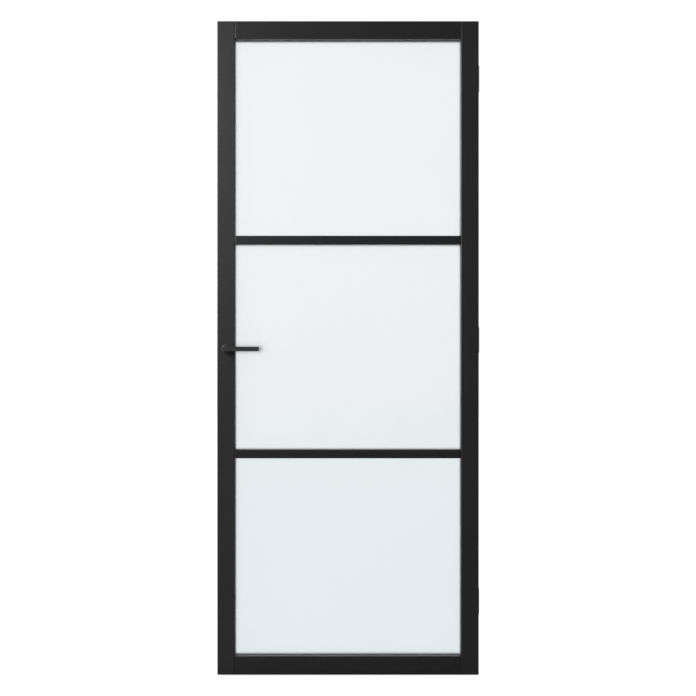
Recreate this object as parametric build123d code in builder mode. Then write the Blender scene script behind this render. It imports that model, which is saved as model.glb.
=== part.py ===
from build123d import *
import math
import os

# A slim black framed interior door leaf with three panes, a lever on each face, a mortise latch
# and three butt hinges. Millimetres. X runs along the width, from the lock side to the hinge side,
# Y runs from the front face to the rear face, where the knuckles are, and Z runs up.
# The origin is the centre of the screw pattern on the bottom hinge's frame-side plate, on the
# face that lies against the jamb.

# Door leaf
leaf_width = 813.0
leaf_height = 2032.0
stile_width = 55.0
top_rail_height = 56.0
bottom_rail_height = 58.0
bar_height = 27.0
lower_sight_height = 615.0
upper_sight_height = 611.0
front_edge_radius = 2.0
rear_arris = 1.2

# Section from the front face to the rear face
stop_depth = 15.0
gasket_thickness = 2.0
glass_thickness = 6.0
bead_depth = 15.0
rebate_width = 9.0
glass_edge_gap = 2.5
gasket_setback = 0.6
glass_arris = 0.5
bead_bevel = 1.5

# Dowels, glazing pins and setting blocks
rail_dowel_radius = 5.0
rail_dowel_length = 50.0
bar_dowel_radius = 3.0
bar_dowel_length = 40.0
hole_end_room = 1.0
dowel_chamfer = 0.8
bead_pin_radius = 0.7
bead_pin_embedment = 5.0
bead_pin_end_distance = 60.0
bead_pin_stagger = 18.0
block_length = 50.0
block_end_distance = 75.0

# Clearances
running_clearance = 0.05
fixed_clearance = 0.02
wood_clearance = 0.5
recess_clearance = 0.15

# Butt hinges
hinge_height = 80.0
hinge_plate_width = 27.0
hinge_plate_thickness = 2.0
hinge_gap = 1.0
hinge_barrel_radius = 5.5
hinge_barrel_standoff = 0.8
hinge_pin_radius = 3.0
hinge_pin_head_radius = 4.6
hinge_pin_head_height = 1.8
hinge_pin_head_bevel = 0.8
hinge_knuckles = 5
hinge_knuckle_gap = 0.4
hinge_knuckle_bevel = 0.4
bottom_hinge_height = 225.0
top_hinge_drop = 175.0
frame_hole_radius = 2.3
frame_sink_radius = 3.9
frame_hole_spacing_y = 13.0
frame_hole_spacing_z = 54.0
door_hole_spacing_y = 13.0
door_hole_spacing_z = 30.0
hinge_screw_radius = 2.0
hinge_screw_head_radius = 3.9
hinge_screw_length = 25.0

# Mortise latch
backset = 28.0
lever_height = 1013.0
case_depth = 37.0
case_width = 15.0
case_below_lever = 30.0
case_above_lever = 62.0
case_wall = 1.5
forend_thickness = 3.0
forend_width = 20.0
forend_overhang = 22.0
forend_screw_inset = 9.0
forend_screw_radius = 2.0
forend_screw_head_radius = 4.0
forend_screw_length = 28.0
lid_post_radius = 3.0
lid_post_inset = 5.0
lid_screw_radius = 1.2
lid_screw_head_radius = 2.2
lid_screw_length = 8.0
bolt_above_lever = 34.0
bolt_width = 9.0
bolt_height = 26.0
bolt_head_length = 15.0
bolt_nose_chamfer = 0.6
bolt_guide_gap = 0.5
bolt_guide_thickness = 2.0
bolt_guide_height = 14.0
tail_radius = 2.5
magnet_radius = 3.0
magnet_length = 4.0
lug_thickness = 2.4
lug_width = 5.0
lug_reach = 20.0
lug_collar_radius = 4.4
lug_end_gap = 1.0
latch_spring_wire = 0.8
latch_spring_radius = 3.6
latch_spring_turns = 6
journal_radius = 6.0
hub_radius = 9.5
follower_thickness = 4.0
follower_arm_length = 20.0
follower_arm_width = 5.0
follower_arm_angle = 30.0
return_arm_length = 19.0
return_spring_drop = 15.0
return_spring_wire = 1.0
return_spring_radius = 4.0
return_spring_turns = 7
spring_end_gap = 0.1

# Lever handles
spindle_size = 8.0
lever_bar = 14.0
lever_neck_width = 16.0
lever_length = 105.0
lever_projection = 50.0
lever_inner_radius = 12.0
lever_edge = 1.0
lever_collar_radius = 6.8
socket_depth = 25.0
spindle_end_room = 1.0
grub_radius = 2.5
grub_from_rose = 6.0
rose_radius = 14.0
rose_height = 6.0
rose_wall = 1.2
rose_edge = 2.4
rose_base_gap = 0.3
rose_to_neck = 0.4
bush_wall = 1.0
rose_screw_offset = 10.2
rose_screw_radius = 1.0
rose_screw_head_radius = 1.8
rose_screw_length = 12.0

# Places along X
leaf_right_x = -(hinge_plate_thickness + hinge_gap)
leaf_left_x = leaf_right_x - leaf_width
sight_left_x = leaf_left_x + stile_width
sight_right_x = leaf_right_x - stile_width
core_left_x = sight_left_x - rebate_width
core_right_x = sight_right_x + rebate_width
sight_mid_x = (sight_left_x + sight_right_x) / 2
barrel_x = leaf_right_x + hinge_gap / 2
lever_x = leaf_left_x + backset

# Places along Y
leaf_thickness = stop_depth + 2 * gasket_thickness + glass_thickness + bead_depth
leaf_rear_y = hinge_plate_width / 2
leaf_front_y = leaf_rear_y - leaf_thickness
leaf_mid_y = (leaf_front_y + leaf_rear_y) / 2
stop_rear_y = leaf_front_y + stop_depth
glass_front_y = stop_rear_y + gasket_thickness
glass_rear_y = glass_front_y + glass_thickness
bead_front_y = glass_rear_y + gasket_thickness
barrel_y = leaf_rear_y + hinge_barrel_standoff + hinge_barrel_radius

# Places along Z
leaf_bottom_z = -bottom_hinge_height
leaf_top_z = leaf_bottom_z + leaf_height
lower_sight_z = leaf_bottom_z + bottom_rail_height
lower_bar_z = lower_sight_z + lower_sight_height
middle_sight_z = lower_bar_z + bar_height
upper_sight_top_z = leaf_top_z - top_rail_height
upper_sight_z = upper_sight_top_z - upper_sight_height
upper_bar_z = upper_sight_z - bar_height
lever_z = leaf_bottom_z + lever_height
bolt_z = lever_z + bolt_above_lever
top_hinge_z = leaf_top_z - top_hinge_drop

hinge_heights = {"bottom": 0.0, "middle": top_hinge_z / 2, "top": top_hinge_z}

# Each pane's visible opening: its lowest and highest Z
openings = {
    "lower": (lower_sight_z, lower_bar_z),
    "middle": (middle_sight_z, upper_bar_z),
    "upper": (upper_sight_z, upper_sight_top_z),
}

# The lock case, measured inwards from the leaf's lock-side edge
case_left_x = leaf_left_x + forend_thickness
case_right_x = case_left_x + case_depth
case_bottom_z = lever_z - case_below_lever
case_top_z = lever_z + case_above_lever
case_front_y = leaf_mid_y - case_width / 2
case_rear_y = leaf_mid_y + case_width / 2
lid_front_y = case_rear_y - case_wall
forend_bottom_z = case_bottom_z - forend_overhang
forend_top_z = case_top_z + forend_overhang
forend_screw_heights = (forend_bottom_z + forend_screw_inset, forend_top_z - forend_screw_inset)
forend_height = forend_top_z - forend_bottom_z
forend_plane = Plane(
    origin=(leaf_left_x, leaf_mid_y, (forend_bottom_z + forend_top_z) / 2),
    x_dir=(0, 1, 0),
    z_dir=(1, 0, 0),
)
guide_left_x = leaf_left_x + bolt_head_length + bolt_guide_gap
guide_right_x = guide_left_x + bolt_guide_thickness
lug_right_x = case_right_x - case_wall - lug_end_gap
lug_left_x = lug_right_x - lug_thickness


def block(low, high, mode=Mode.ADD):
    """Box between two corners, in the part being built."""
    size = Vector(*high) - Vector(*low)
    with Locations(low):
        Box(size.X, size.Y, size.Z, align=(Align.MIN, Align.MIN, Align.MIN), mode=mode)


def rod(start, direction, radius, length, mode=Mode.ADD):
    """Round bar from a start point along a direction, in the part being built."""
    with Locations(Plane(origin=start, z_dir=direction)):
        Cylinder(radius, length, align=(Align.CENTER, Align.CENTER, Align.MIN), mode=mode)


def turned(start, direction, outline, mode=Mode.ADD):
    """Round piece from its half outline, given as radius and distance from start along direction."""
    plane = Plane(origin=start, z_dir=direction)
    with BuildSketch(Plane(origin=start, x_dir=plane.x_dir, z_dir=-plane.y_dir)) as profile:
        with BuildLine():
            Polyline(*outline, close=True)
        make_face()
    revolve(profile.sketch, axis=Axis(start, direction), mode=mode)


def countersunk(start, direction, radius, head_radius, length, mode=Mode.ADD):
    """Flat head screw, or its hole, with the head's face at start and a pointed end."""
    outline = [
        (0, 0),
        (head_radius, 0),
        (radius, head_radius - radius),
        (radius, length - radius),
        (0, length),
    ]
    turned(start, direction, outline, mode)


def mirrored_to_rear(front_piece):
    """The same piece on the rear face, mirrored about the leaf's middle plane."""
    with BuildPart() as rear_piece:
        mirror(front_piece, about=Plane(origin=(0, leaf_mid_y, 0), z_dir=(0, 1, 0)))
    return rear_piece.part


def save(piece, name):
    """Name a finished piece and write it out."""
    piece.label = name
    export_step(piece, f"parts/{name}.step")


def hinge_hole_places(spacing_y, spacing_z, z):
    """Y and Z of the four screws of a hinge plate at height z."""
    return [
        (side * spacing_y / 2, z + level * spacing_z / 2) for side in (-1, 1) for level in (-1, 1)
    ]


def bead_pin_heights(low, high):
    """Heights of the three pins in an upright bead."""
    reach = (high - low) / 2 - bead_pin_end_distance
    return [(low + high) / 2 + step * reach for step in (-1, 0, 1)]


def bead_pin_places(shift):
    """X of the three pins in a level bead, moved aside by shift so pins in one bar don't meet."""
    reach = (sight_right_x - sight_left_x) / 2 - bead_pin_end_distance
    return [sight_mid_x + step * reach + shift for step in (-1, 0, 1)]


def bead_pin_lines():
    """Start on the bead's inner face and direction of every glazing pin."""
    y = bead_front_y + bead_depth / 2
    lines = []
    for low, high in openings.values():
        for z in bead_pin_heights(low, high):
            lines.append(((sight_left_x, y, z), (-1, 0, 0)))
            lines.append(((sight_right_x, y, z), (1, 0, 0)))
        for x in bead_pin_places(0):
            lines.append(((x, y, low), (0, 0, -1)))
        for x in bead_pin_places(bead_pin_stagger):
            lines.append(((x, y, high), (0, 0, 1)))
    return lines


def rail_dowel_heights():
    """Heights of the two dowels in the core of each rail."""
    bottom_core = bottom_rail_height - rebate_width
    top_core = top_rail_height - rebate_width
    heights = [leaf_bottom_z + bottom_core * share for share in (0.25, 0.75)]
    heights += [leaf_top_z - top_core * share for share in (0.25, 0.75)]
    return heights


def dowel_lines():
    """Middle, radius and length of every dowel, which all lie along X."""
    rail_y = (stop_rear_y + leaf_rear_y) / 2
    bar_y = leaf_front_y + stop_depth / 2
    lines = []
    for z in rail_dowel_heights():
        for x in (core_left_x, core_right_x):
            lines.append(((x, rail_y, z), rail_dowel_radius, rail_dowel_length))
    for z in (lower_bar_z + bar_height / 2, upper_bar_z + bar_height / 2):
        for x in (sight_left_x, sight_right_x):
            lines.append(((x, bar_y, z), bar_dowel_radius, bar_dowel_length))
    return lines


def cut_dowel_holes():
    """Holes for the dowels in a frame member, a little wider and deeper than the dowels."""
    for (x, y, z), radius, length in dowel_lines():
        hole = length + 2 * hole_end_room
        rod((x - hole / 2, y, z), (1, 0, 0), radius + fixed_clearance, hole, Mode.SUBTRACT)


def cut_bead_pin_holes():
    """Holes for the glazing pins in a frame member or a bead."""
    for start, direction in bead_pin_lines():
        length = rebate_width + bead_pin_embedment
        rod(start, direction, bead_pin_radius + fixed_clearance, length, Mode.SUBTRACT)


def ease_front_face(member):
    """Round the edges of a frame member's front face, which also makes the seam grooves."""
    fillet(member.faces().sort_by(Axis.Y)[0].edges(), front_edge_radius)


# Stiles: full height, with the rebate for the glass cut from the rear
with BuildPart() as stile_lock_side:
    with BuildSketch(Plane.XY.offset(leaf_bottom_z)):
        with BuildLine():
            Polyline(
                (leaf_left_x, leaf_front_y),
                (sight_left_x, leaf_front_y),
                (sight_left_x, stop_rear_y),
                (core_left_x, stop_rear_y),
                (core_left_x, leaf_rear_y),
                (leaf_left_x, leaf_rear_y),
                close=True,
            )
        make_face()
    extrude(amount=leaf_height)
    ease_front_face(stile_lock_side)
    chamfer(
        stile_lock_side.faces().sort_by(Axis.Y)[-1].edges().filter_by(Axis.Z).sort_by(Axis.X)[0],
        rear_arris,
    )
    # Mortise for the case, recess for the forend, and the holes behind the roses
    block(
        (leaf_left_x, case_front_y - wood_clearance, case_bottom_z - wood_clearance),
        (case_right_x + wood_clearance, case_rear_y + wood_clearance, case_top_z + wood_clearance),
        Mode.SUBTRACT,
    )
    with BuildSketch(forend_plane):
        SlotOverall(
            forend_height + 2 * recess_clearance,
            forend_width + 2 * recess_clearance,
            rotation=90,
        )
    extrude(amount=forend_thickness, mode=Mode.SUBTRACT)
    rod(
        (lever_x, leaf_front_y, lever_z),
        (0, 1, 0),
        lever_collar_radius + wood_clearance,
        leaf_thickness,
        Mode.SUBTRACT,
    )
    for z in forend_screw_heights:
        countersunk(
            (leaf_left_x, leaf_mid_y, z),
            (1, 0, 0),
            forend_screw_radius + fixed_clearance,
            forend_screw_head_radius + fixed_clearance,
            forend_screw_length + hole_end_room,
            Mode.SUBTRACT,
        )
    for level in (-1, 1):
        for face_y, inward in ((leaf_front_y, 1), (leaf_rear_y, -1)):
            rod(
                (lever_x, face_y, lever_z + level * rose_screw_offset),
                (0, inward, 0),
                rose_screw_radius + fixed_clearance,
                rose_screw_length - (rose_height - rose_wall) + hole_end_room,
                Mode.SUBTRACT,
            )
    cut_dowel_holes()
    cut_bead_pin_holes()
save(stile_lock_side.part, "stile_lock_side")

with BuildPart() as stile_hinge_side:
    with BuildSketch(Plane.XY.offset(leaf_bottom_z)):
        with BuildLine():
            Polyline(
                (leaf_right_x, leaf_front_y),
                (sight_right_x, leaf_front_y),
                (sight_right_x, stop_rear_y),
                (core_right_x, stop_rear_y),
                (core_right_x, leaf_rear_y),
                (leaf_right_x, leaf_rear_y),
                close=True,
            )
        make_face()
    extrude(amount=leaf_height)
    ease_front_face(stile_hinge_side)
    chamfer(
        stile_hinge_side.faces().sort_by(Axis.Y)[-1].edges().filter_by(Axis.Z).sort_by(Axis.X)[-1],
        rear_arris,
    )
    for hinge_z in hinge_heights.values():
        block(
            (leaf_right_x - hinge_plate_thickness, -hinge_plate_width / 2, hinge_z - hinge_height / 2),
            (leaf_right_x, leaf_rear_y, hinge_z + hinge_height / 2),
            Mode.SUBTRACT,
        )
        for y, z in hinge_hole_places(door_hole_spacing_y, door_hole_spacing_z, hinge_z):
            countersunk(
                (leaf_right_x, y, z),
                (-1, 0, 0),
                hinge_screw_radius + fixed_clearance,
                hinge_screw_head_radius + fixed_clearance,
                hinge_screw_length + hole_end_room,
                Mode.SUBTRACT,
            )
    cut_dowel_holes()
    cut_bead_pin_holes()
save(stile_hinge_side.part, "stile_hinge_side")


# Rails: the front part runs between the stiles' faces, the core runs on into their rebates
def make_rail(outer_z, sight_z):
    """Rail from the leaf's outer edge to its sight line, with its core set back by the rebate."""
    core_z = sight_z + math.copysign(rebate_width, outer_z - sight_z)
    with BuildPart() as rail:
        block(
            (sight_left_x, leaf_front_y, min(outer_z, sight_z)),
            (sight_right_x, stop_rear_y, max(outer_z, sight_z)),
        )
        block(
            (core_left_x, stop_rear_y, min(outer_z, core_z)),
            (core_right_x, leaf_rear_y, max(outer_z, core_z)),
        )
        ease_front_face(rail)
        cut_dowel_holes()
        cut_bead_pin_holes()
    return rail.part


save(make_rail(leaf_top_z, upper_sight_top_z), "rail_top")
save(make_rail(leaf_bottom_z, lower_sight_z), "rail_bottom")


# Glazing bars: a flange in front of two panes and a thin web between them
def make_bar(bottom_z):
    """Glazing bar whose lower edge is at bottom_z."""
    with BuildPart() as bar:
        block(
            (sight_left_x, leaf_front_y, bottom_z),
            (sight_right_x, stop_rear_y, bottom_z + bar_height),
        )
        block(
            (core_left_x, stop_rear_y, bottom_z + rebate_width),
            (core_right_x, leaf_rear_y, bottom_z + bar_height - rebate_width),
        )
        ease_front_face(bar)
        cut_dowel_holes()
        cut_bead_pin_holes()
    return bar.part


save(make_bar(upper_bar_z), "glazing_bar_upper")
save(make_bar(lower_bar_z), "glazing_bar_lower")

with BuildPart() as frame_dowels:
    for (x, y, z), radius, length in dowel_lines():
        with Locations(Plane(origin=(x, y, z), z_dir=(1, 0, 0))):
            Cylinder(radius, length)
    chamfer(frame_dowels.edges().filter_by(GeomType.CIRCLE), dowel_chamfer)
save(frame_dowels.part, "frame_dowels")


# Glass, gaskets, setting blocks, beads and pins
pane_cover = rebate_width - glass_edge_gap
pane_width = sight_right_x - sight_left_x + 2 * pane_cover


def make_pane(low, high):
    """Pane that laps behind the frame's stop on all four sides."""
    with BuildPart() as pane:
        block(
            (sight_left_x - pane_cover, glass_front_y, low - pane_cover),
            (sight_right_x + pane_cover, glass_rear_y, high + pane_cover),
        )
        chamfer(pane.edges().group_by(Axis.Y)[0] + pane.edges().group_by(Axis.Y)[-1], glass_arris)
    return pane.part


def make_gasket(low, high, front_y):
    """Flat gasket that runs round a pane's edge, a little back from the sight line."""
    mid_z = (low + high) / 2
    inner_width = sight_right_x - sight_left_x + 2 * gasket_setback
    inner_height = high - low + 2 * gasket_setback
    plane = Plane(origin=(sight_mid_x, front_y, mid_z), x_dir=(1, 0, 0), z_dir=(0, -1, 0))
    with BuildPart() as gasket:
        with BuildSketch(plane):
            Rectangle(pane_width, high - low + 2 * pane_cover)
            Rectangle(inner_width, inner_height, mode=Mode.SUBTRACT)
        extrude(amount=-gasket_thickness)
    return gasket.part


def make_bead(outer_ends, inner_ends):
    """Mitred bead between two outer and two inner corners, given as X and Z."""
    with BuildPart() as bead:
        with BuildSketch(Plane.XZ.offset(-bead_front_y)):
            with BuildLine():
                Polyline(outer_ends[0], outer_ends[1], inner_ends[1], inner_ends[0], close=True)
            make_face()
        extrude(amount=-bead_depth)
        middle_x = sum(x for x, z in inner_ends) / 2
        middle_z = sum(z for x, z in inner_ends) / 2
        sight_edge = bead.edges().sort_by_distance(Vector(middle_x, leaf_rear_y, middle_z))[0]
        chamfer(sight_edge, bead_bevel)
        cut_bead_pin_holes()
    return bead.part


for level, (low, high) in openings.items():
    save(make_pane(low, high), f"pane_{level}")
    save(make_gasket(low, high, stop_rear_y), f"gasket_front_{level}")
    save(make_gasket(low, high, glass_rear_y), f"gasket_rear_{level}")
    # Corners of the rebate, and the same corners on the sight line
    outer = {
        "low left": (core_left_x, low - rebate_width),
        "low right": (core_right_x, low - rebate_width),
        "high left": (core_left_x, high + rebate_width),
        "high right": (core_right_x, high + rebate_width),
    }
    inner = {
        "low left": (sight_left_x, low),
        "low right": (sight_right_x, low),
        "high left": (sight_left_x, high),
        "high right": (sight_right_x, high),
    }
    bead_corners = {
        "top": ("high left", "high right"),
        "bottom": ("low left", "low right"),
        "lock_side": ("low left", "high left"),
        "hinge_side": ("low right", "high right"),
    }
    for side, corners in bead_corners.items():
        bead = make_bead([outer[corner] for corner in corners], [inner[corner] for corner in corners])
        save(bead, f"bead_{level}_{side}")

with BuildPart() as bead_pins:
    for start, direction in bead_pin_lines():
        rod(start, direction, bead_pin_radius, rebate_width + bead_pin_embedment)
save(bead_pins.part, "bead_pins")

with BuildPart() as setting_blocks:
    for low, high in openings.values():
        under_z = low - rebate_width
        right_block_x = sight_right_x - block_end_distance - block_length
        for near_x in (sight_left_x + block_end_distance, right_block_x):
            block(
                (near_x, glass_front_y, under_z),
                (near_x + block_length, glass_rear_y, under_z + glass_edge_gap),
            )
        lock_z = high - block_end_distance - block_length
        block(
            (core_left_x, glass_front_y, lock_z),
            (core_left_x + glass_edge_gap, glass_rear_y, lock_z + block_length),
        )
        hinge_z = low + block_end_distance
        block(
            (core_right_x - glass_edge_gap, glass_front_y, hinge_z),
            (core_right_x, glass_rear_y, hinge_z + block_length),
        )
save(setting_blocks.part, "setting_blocks")


# Hinges: the frame-side plate stays with the jamb, the door-side plate turns with the leaf
knuckle_height = hinge_height / hinge_knuckles
plate_root_y = barrel_y - (hinge_pin_radius + hinge_barrel_radius) / 2


def make_hinge_leaf(low_x, hinge_z, own_knuckles):
    """Hinge plate with its knuckles, from low_x over the plate's thickness."""
    high_x = low_x + hinge_plate_thickness
    bottom_z = hinge_z - hinge_height / 2
    with BuildPart() as leaf:
        block((low_x, -hinge_plate_width / 2, bottom_z), (high_x, leaf_rear_y, bottom_z + hinge_height))
        for knuckle in own_knuckles:
            low = bottom_z + knuckle * knuckle_height + hinge_knuckle_gap / 2
            high = bottom_z + (knuckle + 1) * knuckle_height - hinge_knuckle_gap / 2
            block((low_x, leaf_rear_y, low), (high_x, plate_root_y, high))
            inner_radius = hinge_barrel_radius - hinge_knuckle_bevel
            outline = [
                (0, 0),
                (inner_radius, 0),
                (hinge_barrel_radius, hinge_knuckle_bevel),
                (hinge_barrel_radius, high - low - hinge_knuckle_bevel),
                (inner_radius, high - low),
                (0, high - low),
            ]
            turned((barrel_x, barrel_y, low), (0, 0, 1), outline)
        rod(
            (barrel_x, barrel_y, bottom_z),
            (0, 0, 1),
            hinge_pin_radius + running_clearance,
            hinge_height,
            Mode.SUBTRACT,
        )
    return leaf.part


frame_knuckles = range(0, hinge_knuckles, 2)
door_knuckles = range(1, hinge_knuckles, 2)

for name, hinge_z in hinge_heights.items():
    with BuildPart() as frame_leaf:
        add(make_hinge_leaf(-hinge_plate_thickness, hinge_z, frame_knuckles))
        for y, z in hinge_hole_places(frame_hole_spacing_y, frame_hole_spacing_z, hinge_z):
            with Locations(Plane(origin=(-hinge_plate_thickness, y, z), z_dir=(-1, 0, 0))):
                CounterSinkHole(
                    frame_hole_radius,
                    frame_sink_radius,
                    depth=hinge_plate_thickness,
                    counter_sink_angle=90,
                )
    save(frame_leaf.part, f"hinge_{name}_frame_leaf")

    with BuildPart() as door_leaf:
        add(make_hinge_leaf(leaf_right_x - hinge_plate_thickness, hinge_z, door_knuckles))
        for y, z in hinge_hole_places(door_hole_spacing_y, door_hole_spacing_z, hinge_z):
            countersunk(
                (leaf_right_x, y, z),
                (-1, 0, 0),
                hinge_screw_radius + fixed_clearance,
                hinge_screw_head_radius + fixed_clearance,
                hinge_screw_length,
                Mode.SUBTRACT,
            )
    save(door_leaf.part, f"hinge_{name}_door_leaf")

with BuildPart() as hinge_pins:
    for hinge_z in hinge_heights.values():
        pin_end = hinge_height / 2 - hinge_knuckle_gap / 2
        head_end = pin_end + hinge_pin_head_height
        upper_half = [
            (hinge_pin_radius, pin_end),
            (hinge_pin_head_radius, pin_end),
            (hinge_pin_head_radius, head_end - hinge_pin_head_bevel),
            (hinge_pin_head_radius - hinge_pin_head_bevel, head_end),
            (0, head_end),
        ]
        lower_half = [(radius, -height) for radius, height in reversed(upper_half)]
        turned((barrel_x, barrel_y, hinge_z), (0, 0, 1), lower_half + upper_half)
save(hinge_pins.part, "hinge_pins")

with BuildPart() as hinge_screws:
    for hinge_z in hinge_heights.values():
        for y, z in hinge_hole_places(door_hole_spacing_y, door_hole_spacing_z, hinge_z):
            countersunk(
                (leaf_right_x, y, z),
                (-1, 0, 0),
                hinge_screw_radius,
                hinge_screw_head_radius,
                hinge_screw_length,
            )
save(hinge_screws.part, "hinge_screws")


# Latch case: a pressed tray, open to the rear, with a guide for the bolt's tail and posts for the lid
inside_left_x = case_left_x + case_wall
inside_right_x = case_right_x - case_wall
inside_front_y = case_front_y + case_wall
post_places = [
    (inside_right_x - lid_post_inset, case_bottom_z + case_wall + lid_post_inset),
    (inside_left_x + lid_post_inset, case_bottom_z + case_wall + lid_post_inset),
    (inside_left_x + lid_post_inset, case_top_z - case_wall - lid_post_inset),
]

with BuildPart() as lock_case:
    block((case_left_x, case_front_y, case_bottom_z), (case_right_x, lid_front_y, case_top_z))
    block(
        (inside_left_x, inside_front_y, case_bottom_z + case_wall),
        (inside_right_x, lid_front_y, case_top_z - case_wall),
        Mode.SUBTRACT,
    )
    block(
        (guide_left_x, inside_front_y, bolt_z - bolt_guide_height / 2),
        (guide_right_x, lid_front_y, bolt_z + bolt_guide_height / 2),
    )
    for x, z in post_places:
        rod((x, inside_front_y, z), (0, 1, 0), lid_post_radius, lid_front_y - inside_front_y)
        rod(
            (x, case_rear_y, z),
            (0, -1, 0),
            lid_screw_radius + fixed_clearance,
            lid_screw_length + hole_end_room,
            Mode.SUBTRACT,
        )
    block(
        (
            case_left_x,
            leaf_mid_y - bolt_width / 2 - running_clearance,
            bolt_z - bolt_height / 2 - running_clearance,
        ),
        (
            inside_left_x,
            leaf_mid_y + bolt_width / 2 + running_clearance,
            bolt_z + bolt_height / 2 + running_clearance,
        ),
        Mode.SUBTRACT,
    )
    rod(
        (guide_left_x, leaf_mid_y, bolt_z),
        (1, 0, 0),
        tail_radius + running_clearance,
        bolt_guide_thickness,
        Mode.SUBTRACT,
    )
    rod(
        (lever_x, case_front_y, lever_z),
        (0, 1, 0),
        journal_radius + running_clearance,
        case_wall,
        Mode.SUBTRACT,
    )
save(lock_case.part, "lock_case")

with BuildPart() as lock_case_lid:
    block((case_left_x, lid_front_y, case_bottom_z), (case_right_x, case_rear_y, case_top_z))
    for x, z in post_places:
        countersunk(
            (x, case_rear_y, z),
            (0, -1, 0),
            lid_screw_radius + fixed_clearance,
            lid_screw_head_radius + fixed_clearance,
            lid_screw_length,
            Mode.SUBTRACT,
        )
    rod(
        (lever_x, lid_front_y, lever_z),
        (0, 1, 0),
        journal_radius + running_clearance,
        case_wall,
        Mode.SUBTRACT,
    )
save(lock_case_lid.part, "lock_case_lid")

with BuildPart() as lock_lid_screws:
    for x, z in post_places:
        countersunk(
            (x, case_rear_y, z),
            (0, -1, 0),
            lid_screw_radius,
            lid_screw_head_radius,
            lid_screw_length,
        )
save(lock_lid_screws.part, "lock_lid_screws")

with BuildPart() as lock_forend:
    with BuildSketch(forend_plane):
        SlotOverall(forend_height, forend_width, rotation=90)
        with Locations((0, bolt_z - forend_plane.origin.Z)):
            Rectangle(
                bolt_width + 2 * running_clearance,
                bolt_height + 2 * running_clearance,
                mode=Mode.SUBTRACT,
            )
    extrude(amount=forend_thickness)
    for z in forend_screw_heights:
        countersunk(
            (leaf_left_x, leaf_mid_y, z),
            (1, 0, 0),
            forend_screw_radius + fixed_clearance,
            forend_screw_head_radius + fixed_clearance,
            forend_screw_length,
            Mode.SUBTRACT,
        )
save(lock_forend.part, "lock_forend")

with BuildPart() as forend_screws:
    for z in forend_screw_heights:
        countersunk(
            (leaf_left_x, leaf_mid_y, z),
            (1, 0, 0),
            forend_screw_radius,
            forend_screw_head_radius,
            forend_screw_length,
        )
save(forend_screws.part, "forend_screws")

# Latch bolt, drawn back and flush with the forend, as it rests until a magnet in the jamb pulls it
with BuildPart() as latch_bolt:
    block(
        (leaf_left_x, leaf_mid_y - bolt_width / 2, bolt_z - bolt_height / 2),
        (leaf_left_x + bolt_head_length, leaf_mid_y + bolt_width / 2, bolt_z + bolt_height / 2),
    )
    chamfer(latch_bolt.faces().sort_by(Axis.X)[0].edges(), bolt_nose_chamfer)
    rod(
        (leaf_left_x + bolt_head_length, leaf_mid_y, bolt_z),
        (1, 0, 0),
        tail_radius,
        lug_right_x - leaf_left_x - bolt_head_length,
    )
    rod(
        (leaf_left_x, leaf_mid_y, bolt_z),
        (1, 0, 0),
        magnet_radius + fixed_clearance,
        magnet_length,
        Mode.SUBTRACT,
    )
save(latch_bolt.part, "latch_bolt")

with BuildPart() as latch_magnet:
    rod((leaf_left_x, leaf_mid_y, bolt_z), (1, 0, 0), magnet_radius, magnet_length)
save(latch_magnet.part, "latch_magnet")

with BuildPart() as latch_lug:
    rod((lug_left_x, leaf_mid_y, bolt_z), (1, 0, 0), lug_collar_radius, lug_thickness)
    block(
        (lug_left_x, leaf_mid_y - lug_width / 2, bolt_z - lug_reach),
        (lug_right_x, leaf_mid_y + lug_width / 2, bolt_z),
    )
    rod(
        (lug_left_x, leaf_mid_y, bolt_z),
        (1, 0, 0),
        tail_radius + fixed_clearance,
        lug_thickness,
        Mode.SUBTRACT,
    )
save(latch_lug.part, "latch_lug")


def make_coil(start, direction, radius, wire, turns, length):
    """Coil of round wire whose outside faces are start and start plus length."""
    pitch = (length - wire) / turns
    first = Vector(*start) + Vector(*direction) * (wire / 2)
    with BuildPart() as coil:
        with BuildLine() as path:
            Helix(pitch=pitch, height=pitch * turns, radius=radius, center=first, direction=direction)
        with BuildSketch(Plane(path.line ^ 0)):
            Circle(wire / 2)
        sweep(is_frenet=True)
    return coil.part


with BuildPart() as latch_spring:
    add(
        make_coil(
            (guide_right_x + spring_end_gap, leaf_mid_y, bolt_z),
            (1, 0, 0),
            latch_spring_radius,
            latch_spring_wire,
            latch_spring_turns,
            lug_left_x - guide_right_x - 2 * spring_end_gap,
        )
    )
save(latch_spring.part, "latch_spring")

# Follower: turned by the spindle, its upper arm draws the bolt's lug back, and its lower arm
# presses the return spring
follower_plane = Plane(origin=(lever_x, leaf_mid_y, lever_z), x_dir=(1, 0, 0), z_dir=(0, -1, 0))
with BuildPart() as follower:
    with BuildSketch(follower_plane):
        Circle(hub_radius)
        with Locations(Rotation(0, 0, follower_arm_angle)):
            Rectangle(follower_arm_width, follower_arm_length, align=(Align.CENTER, Align.MIN))
        Rectangle(follower_arm_width, return_arm_length, align=(Align.CENTER, Align.MAX))
    extrude(amount=follower_thickness / 2, both=True)
    rod((lever_x, case_front_y, lever_z), (0, 1, 0), journal_radius, case_width)
    with BuildSketch(follower_plane):
        Rectangle(spindle_size + 2 * running_clearance, spindle_size + 2 * running_clearance)
    extrude(amount=case_width, both=True, mode=Mode.SUBTRACT)
save(follower.part, "follower")

with BuildPart() as return_spring:
    add(
        make_coil(
            (inside_left_x + spring_end_gap, leaf_mid_y, lever_z - return_spring_drop),
            (1, 0, 0),
            return_spring_radius,
            return_spring_wire,
            return_spring_turns,
            lever_x - follower_arm_width / 2 - inside_left_x - 2 * spring_end_gap,
        )
    )
save(return_spring.part, "return_spring")

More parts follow.
